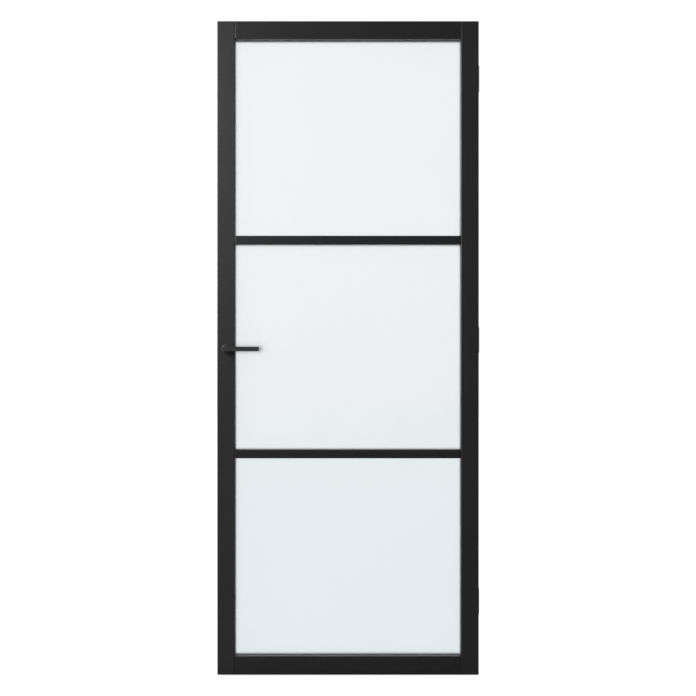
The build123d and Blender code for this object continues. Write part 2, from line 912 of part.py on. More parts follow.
# Spindle and levers
collar_plane = Plane(origin=(lever_x, leaf_front_y, lever_z), x_dir=(1, 0, 0), z_dir=(0, -1, 0))
spindle_length = leaf_thickness + 2 * (socket_depth - spindle_end_room)
with BuildPart() as spindle:
    with Locations((lever_x, leaf_mid_y, lever_z)):
        Box(spindle_size, spindle_length, spindle_size)
save(spindle.part, "spindle")

neck_start_y = leaf_front_y - rose_height - rose_to_neck
bar_front_y = leaf_front_y - lever_projection
bar_rear_y = bar_front_y + lever_bar
neck_left_x = lever_x - lever_neck_width / 2
neck_right_x = lever_x + lever_neck_width / 2
lever_tip_x = lever_x + lever_length
grub_y = leaf_front_y - rose_height - grub_from_rose

with BuildPart() as lever_front:
    with BuildSketch(Plane.XY.offset(lever_z - lever_bar / 2)):
        with BuildLine():
            Polyline(
                (neck_left_x, neck_start_y),
                (neck_left_x, bar_front_y),
                (lever_tip_x, bar_front_y),
                (lever_tip_x, bar_rear_y),
                (neck_right_x, bar_rear_y),
                (neck_right_x, neck_start_y),
                close=True,
            )
        make_face()
    extrude(amount=lever_bar)
    inner_corner = Vector(neck_right_x, bar_rear_y, lever_z)
    fillet(lever_front.edges().filter_by(Axis.Z).sort_by_distance(inner_corner)[0], lever_inner_radius)
    level_edges = lever_front.faces().filter_by(Axis.Z).edges().group_by(Axis.Y)[:-1]
    upright_edges = lever_front.edges().filter_by(Axis.Z)
    eased = {edge for group in level_edges for edge in group}
    eased.update(upright_edges.group_by(Axis.Y)[0])
    eased.update(upright_edges.group_by(Axis.X)[-1])
    fillet(eased, lever_edge)
    with BuildSketch(collar_plane):
        Circle(lever_collar_radius)
    extrude(amount=rose_height + rose_to_neck)
    with BuildSketch(collar_plane):
        Rectangle(spindle_size + 2 * running_clearance, spindle_size + 2 * running_clearance)
    extrude(amount=socket_depth, mode=Mode.SUBTRACT)
    rod(
        (lever_x, grub_y, lever_z - lever_bar / 2),
        (0, 0, 1),
        grub_radius + fixed_clearance,
        (lever_bar - spindle_size) / 2,
        Mode.SUBTRACT,
    )
save(lever_front.part, "lever_front")
save(mirrored_to_rear(lever_front.part), "lever_back")

with BuildPart() as lever_grub_screws:
    for y in (grub_y, 2 * leaf_mid_y - grub_y):
        rod(
            (lever_x, y, lever_z - lever_bar / 2),
            (0, 0, 1),
            grub_radius,
            (lever_bar - spindle_size) / 2,
        )
save(lever_grub_screws.part, "lever_grub_screws")

# Roses: a screwed base with a bush for the lever's collar, under a snap-on cap
base_height = rose_height - rose_wall
bush_radius = lever_collar_radius + running_clearance + bush_wall
with BuildPart() as rose_base_front:
    with BuildSketch(collar_plane):
        Circle(rose_radius - rose_wall - rose_base_gap)
        Circle(bush_radius + fixed_clearance, mode=Mode.SUBTRACT)
    extrude(amount=base_height)
    for level in (-1, 1):
        countersunk(
            (lever_x, leaf_front_y - base_height, lever_z + level * rose_screw_offset),
            (0, 1, 0),
            rose_screw_radius + fixed_clearance,
            rose_screw_head_radius + fixed_clearance,
            rose_screw_length,
            Mode.SUBTRACT,
        )
save(rose_base_front.part, "rose_base_front")
save(mirrored_to_rear(rose_base_front.part), "rose_base_back")

with BuildPart() as rose_cap_front:
    with BuildSketch(collar_plane):
        Circle(rose_radius)
    extrude(amount=rose_height)
    fillet(rose_cap_front.faces().sort_by(Axis.Y)[0].edges(), rose_edge)
    with BuildSketch(collar_plane):
        Circle(rose_radius - rose_wall)
    extrude(amount=base_height, mode=Mode.SUBTRACT)
    with BuildSketch(collar_plane):
        Circle(lever_collar_radius + rose_base_gap)
    extrude(amount=rose_height, mode=Mode.SUBTRACT)
save(rose_cap_front.part, "rose_cap_front")
save(mirrored_to_rear(rose_cap_front.part), "rose_cap_back")

with BuildPart() as lever_bushes:
    with BuildSketch(collar_plane):
        Circle(bush_radius)
        Circle(lever_collar_radius + running_clearance, mode=Mode.SUBTRACT)
    extrude(amount=base_height)
    mirror(about=Plane(origin=(0, leaf_mid_y, 0), z_dir=(0, 1, 0)))
save(lever_bushes.part, "lever_bushes")

with BuildPart() as rose_screws:
    for level in (-1, 1):
        for y, inward in (
            (leaf_front_y - base_height, 1),
            (leaf_rear_y + base_height, -1),
        ):
            countersunk(
                (lever_x, y, lever_z + level * rose_screw_offset),
                (0, inward, 0),
                rose_screw_radius,
                rose_screw_head_radius,
                rose_screw_length,
            )
save(rose_screws.part, "rose_screws")
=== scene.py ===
import math

import bmesh
import bpy
from bpy.props import FloatProperty, FloatVectorProperty, IntProperty, PointerProperty
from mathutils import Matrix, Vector


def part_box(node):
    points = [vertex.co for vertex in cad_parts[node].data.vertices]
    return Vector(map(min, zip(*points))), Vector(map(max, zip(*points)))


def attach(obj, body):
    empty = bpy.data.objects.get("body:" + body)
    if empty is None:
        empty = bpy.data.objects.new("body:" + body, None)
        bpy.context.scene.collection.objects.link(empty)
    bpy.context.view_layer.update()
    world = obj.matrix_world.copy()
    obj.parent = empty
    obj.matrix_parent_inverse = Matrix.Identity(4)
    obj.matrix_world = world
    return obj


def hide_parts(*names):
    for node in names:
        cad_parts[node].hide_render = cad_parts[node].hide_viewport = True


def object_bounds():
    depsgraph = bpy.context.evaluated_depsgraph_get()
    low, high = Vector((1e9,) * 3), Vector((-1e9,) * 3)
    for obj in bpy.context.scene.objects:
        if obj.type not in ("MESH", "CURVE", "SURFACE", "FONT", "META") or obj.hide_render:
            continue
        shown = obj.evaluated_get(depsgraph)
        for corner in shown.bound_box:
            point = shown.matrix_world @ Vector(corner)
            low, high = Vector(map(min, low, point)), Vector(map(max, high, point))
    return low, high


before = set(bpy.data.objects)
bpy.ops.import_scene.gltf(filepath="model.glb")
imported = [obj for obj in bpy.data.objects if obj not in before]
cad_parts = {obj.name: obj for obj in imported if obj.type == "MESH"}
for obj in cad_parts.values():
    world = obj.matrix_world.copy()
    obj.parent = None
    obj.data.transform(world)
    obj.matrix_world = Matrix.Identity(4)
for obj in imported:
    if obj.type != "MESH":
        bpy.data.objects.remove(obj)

bl_info = {
    "name": "Glass interior door finishes",
    "version": (1, 0, 0),
    "blender": (4, 5, 0),
    "location": "View3D > Sidebar > Door",
    "description": "Finishes, fittings and studio for a slim black framed door with satin glass",
    "category": "Object",
}

cad_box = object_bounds()
millimetre = 0.001
merge_distance = 0.001 * millimetre
sharp_angle = math.radians(30)

# Colours of the metals that are used both on CAD nodes and on the grown screws.
black_steel_colour = (0.06, 0.06, 0.062)
zinc_colour = (0.55, 0.56, 0.58)


class Socket:
    """An output of a node that takes Python arithmetic."""

    def __init__(self, graph, socket):
        self.graph = graph
        self.socket = socket

    def other(self, name):
        """Another output of the same node."""
        return Socket(self.graph, self.socket.node.outputs[name])

    def _math(self, operation, *operands):
        """A Math node on numbers and sockets."""
        inputs = dict(enumerate(operands))
        return self.graph.node("ShaderNodeMath", {"operation": operation}, inputs)

    def __add__(self, other):
        return self._math("ADD", self, other)

    def __radd__(self, other):
        return self._math("ADD", other, self)

    def __sub__(self, other):
        return self._math("SUBTRACT", self, other)

    def __rsub__(self, other):
        return self._math("SUBTRACT", other, self)

    def __mul__(self, other):
        return self._math("MULTIPLY", self, other)

    def __rmul__(self, other):
        return self._math("MULTIPLY", other, self)

    def __truediv__(self, other):
        return self._math("DIVIDE", self, other)

    def __rtruediv__(self, other):
        return self._math("DIVIDE", other, self)

    def larger(self, other):
        return self._math("MAXIMUM", self, other)

    def smaller(self, other):
        return self._math("MINIMUM", self, other)

    def size(self):
        return self._math("ABSOLUTE", self)

    def above(self, other):
        return self._math("GREATER_THAN", self, other)

    def sine(self):
        return self._math("SINE", self)

    def cosine(self):
        return self._math("COSINE", self)

    def fraction(self):
        return self._math("FRACT", self)

    def rounded(self):
        return self._math("ROUND", self)

    def ramp(self, low, high):
        """0 below low, 1 above high, smooth between."""
        return self.graph.node(
            "ShaderNodeMapRange",
            {"interpolation_type": "SMOOTHSTEP"},
            {"Value": self, "From Min": low, "From Max": high},
        )


class Graph:
    """A node tree, and the one way in which nodes are added to it."""

    def __init__(self, tree):
        self.tree = tree

    def node(self, kind, settings=None, inputs=None, output=0):
        """Add a node: its settings first, then its sockets. Gives one of its outputs."""
        node = self.tree.nodes.new(kind)
        for name, value in (settings or {}).items():
            setattr(node, name, value)
        for key, value in (inputs or {}).items():
            if isinstance(value, Socket):
                self.tree.links.new(value.socket, node.inputs[key])
            else:
                node.inputs[key].default_value = value
        return Socket(self, node.outputs[output]) if len(node.outputs) else None

    def sockets(self, direction, kind, *names):
        """Add named sockets to a geometry tree's own interface."""
        for name in names:
            self.tree.interface.new_socket(name, in_out=direction, socket_type=kind)

    def mixed(self, share, first, second):
        """Colour between two colours. A Mix node's colour sockets are told by their place."""
        colour_a, colour_b, colour_result = 6, 7, 2
        return self.node(
            "ShaderNodeMix",
            {"data_type": "RGBA"},
            {"Factor": share, colour_a: first, colour_b: second},
            output=colour_result,
        )

    def noise(self, place, scale, detail=2.0, roughness=0.5):
        """Soft noise from 0 to 1, with about scale spots in a metre."""
        return self.node(
            "ShaderNodeTexNoise",
            None,
            {"Vector": place, "Scale": scale, "Detail": detail, "Roughness": roughness},
            output="Fac",
        )

    def stretched(self, place, along, factor):
        """Coordinates drawn out along one axis, for grain and brush lines."""
        scale = [1.0, 1.0, 1.0]
        scale["XYZ".index(along)] = factor
        return self.node("ShaderNodeMapping", None, {"Vector": place, "Scale": scale})

    def bump(self, height, depth):
        """Normal of a surface that rises by depth in metres where height is 1."""
        return self.node("ShaderNodeBump", None, {"Height": height, "Distance": depth})


def rgba(colour):
    """A colour with full opacity, as colour sockets take it."""
    return (*colour, 1.0)


def shader_graph(name):
    """A new material's tree, and its object coordinates."""
    material = bpy.data.materials.new(name)
    material.use_nodes = True
    material.node_tree.nodes.clear()
    graph = Graph(material.node_tree)
    return material, graph, graph.node("ShaderNodeTexCoord", output="Object")


def close_graph(graph, sockets):
    """Principled surface with the given sockets, joined to the output."""
    surface = graph.node("ShaderNodeBsdfPrincipled", None, sockets)
    graph.node("ShaderNodeOutputMaterial", None, {"Surface": surface})


def lacquer(name, along, finish, painted_shade=1.0):
    """Semi-matt black lacquer, with the timber's grain just showing through along one axis."""
    material, graph, place = shader_graph(name)
    drawn = graph.stretched(place, along, 0.03)
    grain = graph.noise(drawn, scale=800.0, detail=4.0, roughness=0.6)
    pores = graph.noise(drawn, scale=2400.0).ramp(0.58, 0.7)
    peel = graph.noise(place, scale=1300.0, detail=1.0)
    cloud = graph.noise(place, scale=7.0, detail=3.0)
    # Painted shade: a factor below 1 darkens the lacquer's colour, giving a shaded copy for rails
    # and bars.
    colour = Vector(finish.lacquer_colour) * painted_shade
    dark, light = colour * 0.85, colour * 1.2
    gloss = finish.lacquer_roughness * math.sqrt(painted_shade)
    relief = 0.45 * grain + 0.35 * peel - 0.3 * pores
    close_graph(
        graph,
        {
            "Base Color": graph.mixed(0.6 * cloud + 0.4 * grain, rgba(dark), rgba(light)),
            "Roughness": gloss + 0.08 * (cloud - 0.5) + 0.06 * (grain - 0.5),
            "Normal": graph.bump(relief, 0.04 * millimetre),
        },
    )
    return material


def satin_glass(name, finish):
    """Etched glass: lets light through, softens what is behind it, with a faint cool tint."""
    material, graph, place = shader_graph(name)
    etch = graph.noise(place, scale=2600.0)
    cloud = graph.noise(place, scale=5.0)
    tint = Vector(finish.glass_tint)
    close_graph(
        graph,
        {
            "Base Color": graph.mixed(cloud, rgba(tint * 0.99), rgba(tint * 1.01)),
            "Roughness": finish.glass_roughness + 0.05 * (etch - 0.5),
            "IOR": 1.5,
            "Transmission Weight": finish.glass_transmission,
            "Normal": graph.bump(etch, 0.01 * millimetre),
        },
    )
    return material


def soft_rubber(name, finish):
    """Matt black gasket with a fine pressed skin."""
    material, graph, place = shader_graph(name)
    skin = graph.noise(place, scale=1800.0, detail=3.0)
    bloom = graph.noise(place, scale=40.0, detail=3.0).ramp(0.45, 0.8)
    colour = Vector(finish.rubber_colour)
    close_graph(
        graph,
        {
            "Base Color": graph.mixed(bloom, rgba(colour), rgba(colour * 1.8)),
            "Roughness": 0.72 + 0.12 * (skin - 0.5),
            "Normal": graph.bump(skin, 0.05 * millimetre),
        },
    )
    return material


def powder_coat(name, colour, roughness):
    """Satin black coating on metal, with the fine dimples that the powder leaves."""
    material, graph, place = shader_graph(name)
    dimples = graph.node(
        "ShaderNodeTexVoronoi",
        {"feature": "SMOOTH_F1"},
        {"Vector": place, "Scale": 2200.0, "Smoothness": 0.6},
        output="Distance",
    )
    cloud = graph.noise(place, scale=60.0, detail=3.0)
    dark, light = Vector(colour) * 0.85, Vector(colour) * 1.2
    close_graph(
        graph,
        {
            "Base Color": graph.mixed(cloud, rgba(dark), rgba(light)),
            "Roughness": roughness + 0.1 * (cloud - 0.5) + 0.08 * (dimples - 0.4),
            "Normal": graph.bump(dimples, 0.02 * millimetre),
        },
    )
    return material


def brushed_metal(name, colour, along, roughness):
    """Bare or plated metal with brush lines along one axis and duller patches."""
    material, graph, place = shader_graph(name)
    drawn = graph.stretched(place, along, 0.03)
    lines = graph.noise(drawn, scale=3000.0, detail=3.0, roughness=0.7)
    patches = graph.noise(place, scale=90.0, detail=4.0).ramp(0.35, 0.75)
    dark, light = Vector(colour) * 0.75, Vector(colour) * 1.1
    close_graph(
        graph,
        {
            "Base Color": graph.mixed(0.5 * lines + 0.5 * patches, rgba(dark), rgba(light)),
            "Metallic": 1.0,
            "Roughness": roughness + 0.16 * (lines - 0.5) + 0.12 * patches,
            "Normal": graph.bump(lines, 0.008 * millimetre),
        },
    )
    return material


def beech(name, finish):
    """Pale beech with its short dark flecks, grain along the dowels."""
    material, graph, place = shader_graph(name)
    drawn, less_drawn = (graph.stretched(place, "X", factor) for factor in (0.06, 0.2))
    rings = graph.noise(drawn, scale=500.0, detail=3.0, roughness=0.6)
    flecks = graph.noise(less_drawn, scale=2500.0, detail=1.0).ramp(0.62, 0.7)
    colour = Vector(finish.beech_colour)
    wood = graph.mixed(rings, rgba(colour * 0.82), rgba(colour * 1.08))
    close_graph(
        graph,
        {
            "Base Color": graph.mixed(0.6 * flecks, wood, rgba(colour * 0.5)),
            "Roughness": 0.62 + 0.1 * (rings - 0.5),
            "Normal": graph.bump(rings - 0.5 * flecks, 0.06 * millimetre),
        },
    )
    return material


def moulded_nylon(name, finish):
    """Milky moulded nylon with faint flow marks."""
    material, graph, place = shader_graph(name)
    flow = graph.noise(place, scale=220.0, detail=3.0)
    colour = Vector(finish.nylon_colour)
    close_graph(
        graph,
        {
            "Base Color": graph.mixed(flow, rgba(colour * 0.93), rgba(colour * 1.04)),
            "Roughness": 0.45 + 0.1 * (flow - 0.5),
            "Subsurface Weight": 0.1,
            "Normal": graph.bump(flow, 0.02 * millimetre),
        },
    )
    return material


class DoorFinish(bpy.types.PropertyGroup):
    """Colours and gloss of the door's surfaces."""

    lacquer_colour: FloatVectorProperty(
        name="Lacquer",
        description="Colour of the black lacquer on stiles, rails, bars and beads",
        default=(0.0095, 0.0095, 0.0095),
        subtype="COLOR",
        min=0.0,
        max=1.0,
    )
    lacquer_roughness: FloatProperty(
        name="Lacquer roughness",
        description="0 is a mirror, 1 is fully matt",
        default=0.46,
        subtype="FACTOR",
        min=0.0,
        max=1.0,
    )
    # Painted shade: rails and bars take a darker copy of the lacquer colour than the stiles,
    # standing in for the light that falls across their grain; their roughness is lowered too.
    level_painted_shade: FloatProperty(
        name="Level members",
        description="Brightness of rails and bars beside the stiles, as light crosses their grain",
        default=0.78,
        subtype="FACTOR",
        min=0.3,
        max=1.0,
    )
    glass_tint: FloatVectorProperty(
        name="Glass tint",
        description="Colour of the satin glass",
        default=(0.907, 0.925, 0.94),
        subtype="COLOR",
        min=0.0,
        max=1.0,
    )
    glass_roughness: FloatProperty(
        name="Glass etching",
        description="How far the etched surface softens what is behind it",
        default=0.4,
        subtype="FACTOR",
        min=0.0,
        max=1.0,
    )
    glass_transmission: FloatProperty(
        name="Glass transmission",
        description="Share of light that passes through the panes",
        default=1.0,
        subtype="FACTOR",
        min=0.0,
        max=1.0,
    )
    rubber_colour: FloatVectorProperty(
        name="Gasket",
        description="Colour of the gaskets round the panes",
        default=(0.012, 0.012, 0.012),
        subtype="COLOR",
        min=0.0,
        max=1.0,
    )
    coat_colour: FloatVectorProperty(
        name="Metal coating",
        description="Colour of the coating on levers, roses, latch bolt and edge plate",
        default=(0.02, 0.02, 0.0205),
        subtype="COLOR",
        min=0.0,
        max=1.0,
    )
    coat_roughness: FloatProperty(
        name="Coating roughness",
        description="0 is a mirror, 1 is fully matt",
        default=0.4,
        subtype="FACTOR",
        min=0.0,
        max=1.0,
    )
    beech_colour: FloatVectorProperty(
        name="Beech",
        description="Colour of the dowels",
        default=(0.55, 0.36, 0.2),
        subtype="COLOR",
        min=0.0,
        max=1.0,
    )
    nylon_colour: FloatVectorProperty(
        name="Nylon",
        description="Colour of the bushes and of the blocks under the glass",
        default=(0.72, 0.72, 0.68),
        subtype="COLOR",
        min=0.0,
        max=1.0,
    )


class DoorFittings(bpy.types.PropertyGroup):
    """Sizes of the fittings that the frame's own boxes don't give."""

    gasket_width: FloatProperty(
        name="Gasket width",
        description="Width of the gaskets' section, along the pane",
        default=5.9 * millimetre,
        unit="LENGTH",
    )
    gasket_corner: FloatProperty(
        name="Gasket corner",
        description="Radius of the gaskets' middle line at a pane's corner",
        default=4.5 * millimetre,
        unit="LENGTH",
    )
    shank_share: FloatProperty(
        name="Screw shank",
        description="Radius of a screw's shank as a share of its head's",
        default=0.5,
        subtype="FACTOR",
        min=0.3,
        max=0.9,
    )
    recess_share: FloatProperty(
        name="Screw recess",
        description="Radius and depth of a screw's recess as a share of its head's radius",
        default=0.45,
        subtype="FACTOR",
        min=0.2,
        max=0.7,
    )
    pitch_share: FloatProperty(
        name="Thread pitch",
        description="Rise of a screw's thread in one turn as a share of its head's radius",
        default=0.45,
        subtype="FACTOR",
        min=0.1,
        max=1.0,
    )
    thread_share: FloatProperty(
        name="Thread depth",
        description="Depth of a screw's thread as a share of its head's radius",
        default=0.12,
        subtype="FACTOR",
        min=0.0,
        max=0.3,
    )
    dowel_flutes: IntProperty(
        name="Dowel grooves",
        description="Glue grooves round a beech dowel",
        default=16,
        min=0,
    )
    groove_share: FloatProperty(
        name="Groove depth",
        description="Depth of a dowel's glue grooves as a share of its radius",
        default=0.09,
        subtype="FACTOR",
        min=0.0,
        max=0.3,
    )
    bevel_radius_share: FloatProperty(
        name="Dowel bevel",
        description="How far a dowel's bevelled ends are narrower, as a share of its radius",
        default=0.18,
        subtype="FACTOR",
        min=0.0,
        max=0.5,
    )
    bevel_length_share: FloatProperty(
        name="Dowel bevel length",
        description="Length of a dowel's bevelled ends as a share of its length",
        default=0.02,
        subtype="FACTOR",
        min=0.0,
        max=0.2,
    )


class DoorStudio(bpy.types.PropertyGroup):
    """Camera, lights and floor."""

    view_distance: FloatProperty(
        name="View distance",
        description="Distance of the camera from the leaf's front face",
        default=3.3,
        unit="LENGTH",
    )
    picture_scale: FloatProperty(
        name="Picture scale",
        description="Size on the leaf's front face of one pixel of the picture",
        default=3.1072 * millimetre,
        unit="LENGTH",
    )
    key_distance: FloatProperty(
        name="Key distance",
        description="Distance of the main light from the front lever",
        default=2.15,
        unit="LENGTH",
    )
    key_power: FloatProperty(
        name="Key power",
        description="Power of the main light",
        default=34.5,
        unit="POWER",
        min=0.0,
    )
    key_size: FloatProperty(
        name="Key size",
        description="Width of the main light",
        default=0.35,
        unit="LENGTH",
    )
    rim_power: FloatProperty(
        name="Rim power",
        description="Power of the narrow light on the left, which draws bright edges",
        default=80.0,
        unit="POWER",
        min=0.0,
    )
    rim_width: FloatProperty(
        name="Rim width",
        description="Width of the narrow light on the left",
        default=0.2,
        unit="LENGTH",
    )
    rim_height: FloatProperty(
        name="Rim height",
        description="Height of the narrow light on the left",
        default=1.7,
        unit="LENGTH",
    )
    front_level: FloatProperty(
        name="Front level",
        description="Brightness of the studio in front of the door, where 1 is white",
        default=0.215,
        subtype="FACTOR",
        min=0.0,
        max=1.0,
    )
    floor_gap: FloatProperty(
        name="Floor gap",
        description="Height of the leaf above the floor",
        default=7 * millimetre,
        unit="LENGTH",
    )


def turned_mesh(graph, around, rings, outline):
    """Closed turned mesh. outline gives radius and height from a ring's number and the angle.

    A grid of 1 m is bent round: its X runs once around, and its Y from ring 0 to the last one.
    """
    grid = graph.node(
        "GeometryNodeMeshGrid",
        None,
        {"Size X": 1.0, "Size Y": 1.0, "Vertices X": around + 1, "Vertices Y": rings + 1},
    )
    place = graph.node("ShaderNodeSeparateXYZ", None, {0: graph.node("GeometryNodeInputPosition")})
    angle = (place + 0.5) * math.tau
    ring = ((place.other("Y") + 0.5) * rings).rounded()
    radius, height = outline(ring, angle)
    turned = graph.node(
        "ShaderNodeCombineXYZ",
        None,
        {"X": radius * angle.cosine(), "Y": radius * angle.sine(), "Z": height},
    )
    shaped = graph.node("GeometryNodeSetPosition", None, {"Geometry": grid, "Position": turned})
    return graph.node(
        "GeometryNodeMergeByDistance", None, {"Geometry": shaped, "Distance": merge_distance}
    )


def screw_mesh(graph, entry):
    """Countersunk screw with a six-lobed recess, a thread and a pointed or blunt end.

    Ring 0 is the middle of the recess's floor, ring 1 its edge, ring 2 the recess's rim and
    ring 3 the edge of the head. The rest go down the head and the shank.
    """
    around, rings = 36, 90
    recess_rings, lobes, lobe_depth = 3, 6, 0.1
    head, shank, length = (entry.other(name) for name in ("Head radius", "Shank radius", "Length"))
    recess, depth = entry.other("Recess radius"), entry.other("Recess depth")
    pitch, groove = entry.other("Pitch"), entry.other("Thread depth")

    def outline(ring, angle):
        lobed = recess * (1 - lobe_depth * (1 + (lobes * angle).cosine()))
        outside = ring.above(recess_rings - 0.5)
        opened = ring.above(0.5) - outside
        sunk = depth * (1 - ring.above(recess_rings - 1.5))
        along = length * ((ring - recess_rings) / (rings - recess_rings)).larger(0)
        crest = 1 - (2 * (along / pitch - angle / math.tau).fraction() - 1).size()
        threaded = along.ramp(head, head + 2 * pitch)
        body = (head - along).larger(shank - groove * threaded * (1 - crest))
        ended = body.smaller((length - along) * entry.other("End slope"))
        return lobed * opened + ended * outside, along + sunk

    return turned_mesh(graph, around, rings, outline)


def dowel_mesh(graph, entry):
    """Dowel of radius and length 1, with glue grooves along it and bevelled ends."""
    around, rings = 96, 5
    flutes, groove = entry.other("Flutes"), entry.other("Groove depth")
    bevel, end = entry.other("Bevel radius"), entry.other("Bevel length")

    def outline(ring, angle):
        face, bevelled, far_bevel, far_face, far_middle = (
            ring.above(number - 0.5) for number in range(1, rings + 1)
        )
        radius = (1 - bevel) * (face - far_middle) + bevel * (bevelled - far_face)
        height = end * (bevelled + far_face) + (1 - 2 * end) * far_bevel - 0.5
        return radius * (1 - groove * (flutes * angle).cosine().larger(0)), height

    return turned_mesh(graph, around, rings, outline)


def instanced_tree(name, sizes, make_mesh):
    """Geometry tree that sets a mesh at every point, turned and sized as the point says."""
    tree = bpy.data.node_groups.new(name, "GeometryNodeTree")
    graph = Graph(tree)
    graph.sockets("INPUT", "NodeSocketGeometry", "Points")
    graph.sockets("INPUT", "NodeSocketMaterial", "Material")
    graph.sockets("INPUT", "NodeSocketFloat", *sizes)
    graph.sockets("OUTPUT", "NodeSocketGeometry", "Mesh")
    entry = graph.node("NodeGroupInput")
    direction, size = (
        graph.node(
            "GeometryNodeInputNamedAttribute", {"data_type": "FLOAT_VECTOR"}, {"Name": attribute}
        )
        for attribute in ("direction", "size")
    )
    turn = graph.node("FunctionNodeAlignRotationToVector", {"axis": "Z"}, {"Vector": direction})
    instances = graph.node(
        "GeometryNodeInstanceOnPoints",
        None,
        {"Points": entry, "Instance": make_mesh(graph, entry), "Rotation": turn, "Scale": size},
    )
    finish_tree(graph, entry, instances)
    return tree


def finish_tree(graph, entry, geometry):
    """Turn instances into a plain mesh, give it the material and end the tree."""
    plain = graph.node("GeometryNodeRealizeInstances", None, {"Geometry": geometry})
    painted = graph.node(
        "GeometryNodeSetMaterial", None, {"Geometry": plain, "Material": entry.other("Material")}
    )
    graph.node("NodeGroupOutput", None, {"Mesh": painted})


def gasket_tree(name):
    """Geometry tree for a gasket with a rounded section that runs round an upright pane."""
    corner_steps, edge_steps, edge_share = 8, 4, 0.45
    tree = bpy.data.node_groups.new(name, "GeometryNodeTree")
    graph = Graph(tree)
    graph.sockets("INPUT", "NodeSocketGeometry", "Points")
    graph.sockets("INPUT", "NodeSocketMaterial", "Material")
    graph.sockets("INPUT", "NodeSocketVector", "Middle")
    sizes = ("Width", "Height", "Section width", "Section thickness", "Corner radius")
    graph.sockets("INPUT", "NodeSocketFloat", *sizes)
    graph.sockets("OUTPUT", "NodeSocketGeometry", "Mesh")
    entry = graph.node("NodeGroupInput")
    width, height, section, thickness, corner = (entry.other(size) for size in sizes)

    def rounded_rectangle(wide, high, radius, steps):
        sides = graph.node(
            "GeometryNodeCurvePrimitiveQuadrilateral", None, {"Width": wide, "Height": high}
        )
        return graph.node(
            "GeometryNodeFilletCurve",
            {"mode": "POLY"},
            {"Curve": sides, "Radius": radius, "Count": steps},
        )

    route = rounded_rectangle(width - section, height - section, corner, corner_steps)
    profile = rounded_rectangle(section, thickness, edge_share * thickness, edge_steps)
    strip = graph.node("GeometryNodeCurveToMesh", None, {"Curve": route, "Profile Curve": profile})
    upright = graph.node(
        "GeometryNodeTransform",
        None,
        {
            "Geometry": strip,
            "Translation": entry.other("Middle"),
            "Rotation": (math.radians(90), 0.0, 0.0),
        },
    )
    finish_tree(graph, entry, upright)
    return tree


def grown(name, tree, values, points=()):
    """Object with a tree's result as a plain mesh. values are given by the inputs' names.

    points are places with the direction and the size that a repeated mesh takes there.
    """
    mesh = bpy.data.meshes.new(name)
    mesh.from_pydata([place for place, direction, size in points], [], [])
    for attribute, column in (("direction", 1), ("size", 2)):
        data = mesh.attributes.new(attribute, "FLOAT_VECTOR", "POINT").data
        for item, point in zip(data, points):
            item.vector = point[column]
    piece = link(name, mesh)
    modifier = piece.modifiers.new("grow", "NODES")
    modifier.node_group = tree
    for item in tree.interface.items_tree:
        if item.in_out == "INPUT" and item.name in values:
            modifier[item.identifier] = values[item.name]
    return outwards(smooth(baked(piece)))


def outwards(piece):
    """Turn the faces of a closed piece outwards."""
    shape = bmesh.new()
    shape.from_mesh(piece.data)
    if shape.calc_volume(signed=True) < 0:
        bmesh.ops.reverse_faces(shape, faces=shape.faces)
        shape.to_mesh(piece.data)
    shape.free()
    return piece


def solid_boxes(name):
    """Low and high corner of every separate solid in a CAD node, in order of place."""
    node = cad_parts[name]
    shape = bmesh.new()
    shape.from_mesh(node.data)
    shape.transform(node.matrix_world)
    bmesh.ops.remove_doubles(shape, verts=shape.verts, dist=merge_distance)
    left = set(shape.verts)
    boxes = []
    while left:
        queue = [left.pop()]
        low, high = queue[0].co.copy(), queue[0].co.copy()
        while queue:
            vertex = queue.pop()
            for axis in range(3):
                low[axis] = min(low[axis], vertex.co[axis])
                high[axis] = max(high[axis], vertex.co[axis])
            near = {edge.other_vert(vertex) for edge in vertex.link_edges} & left
            left -= near
            queue.extend(near)
        boxes.append((low, high))
    shape.free()
    return sorted(boxes, key=lambda box: tuple(box[0]))


def paint(names, material):
    """Give CAD nodes a material."""
    for name in names:
        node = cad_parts[name]
        if not node.material_slots:
            node.data.materials.append(material)
        for material_slot in node.material_slots:
            material_slot.material = material


def nodes_named(*starts):
    """CAD nodes whose names start with one of these words, each of which has to find some."""
    for start in starts:
        if not any(name.startswith(start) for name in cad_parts):
            raise ValueError(f"no CAD node's name starts with {start}")
    return [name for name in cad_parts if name.startswith(starts)]


def place_piece(piece, body, slot, *replaced):
    """A finished piece rides on a body and stands for its CAD nodes, which it hides. Its slot is
    not used.
    """
    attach(piece, body)
    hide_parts(*replaced)


def link(name, data):
    """A new object for a mesh, a light or a camera, at the origin."""
    piece = bpy.data.objects.new(name, data)
    bpy.context.scene.collection.objects.link(piece)
    return piece


def baked(piece):
    """Apply all of a piece's modifiers."""
    graph = bpy.context.evaluated_depsgraph_get()
    mesh = bpy.data.meshes.new_from_object(piece.evaluated_get(graph))
    piece.modifiers.clear()
    piece.data = mesh
    return piece


def smooth(piece):
    """Smooth shading, but for sharp edges."""
    piece.data.shade_smooth()
    piece.data.set_sharp_from_angle(angle=sharp_angle)
    return piece


class Operation:
    """What the door's operators share."""

    bl_options = {"REGISTER", "UNDO"}


class DOOR_OT_frame(Operation, bpy.types.Operator):
    """Lacquer the stiles, rails, glazing bars and beads, each with its grain along its length"""

    bl_idname = "door.frame"
    bl_label = "Frame members"

    def execute(self, context):
        finish = context.scene.door_finish
        upright = lacquer("lacquer_upright", "Z", finish)
        # Rails, bars and level beads get painted shade: a darker copy of the lacquer.
        level = lacquer("lacquer_level", "X", finish, finish.level_painted_shade)
        beads = nodes_named("bead_lower", "bead_middle", "bead_upper")
        upright_beads = [name for name in beads if name.endswith("_side")]
        paint(nodes_named("stile_") + upright_beads, upright)
        paint(nodes_named("rail_", "glazing_bar_"), level)
        paint([name for name in beads if name not in upright_beads], level)
        return {"FINISHED"}


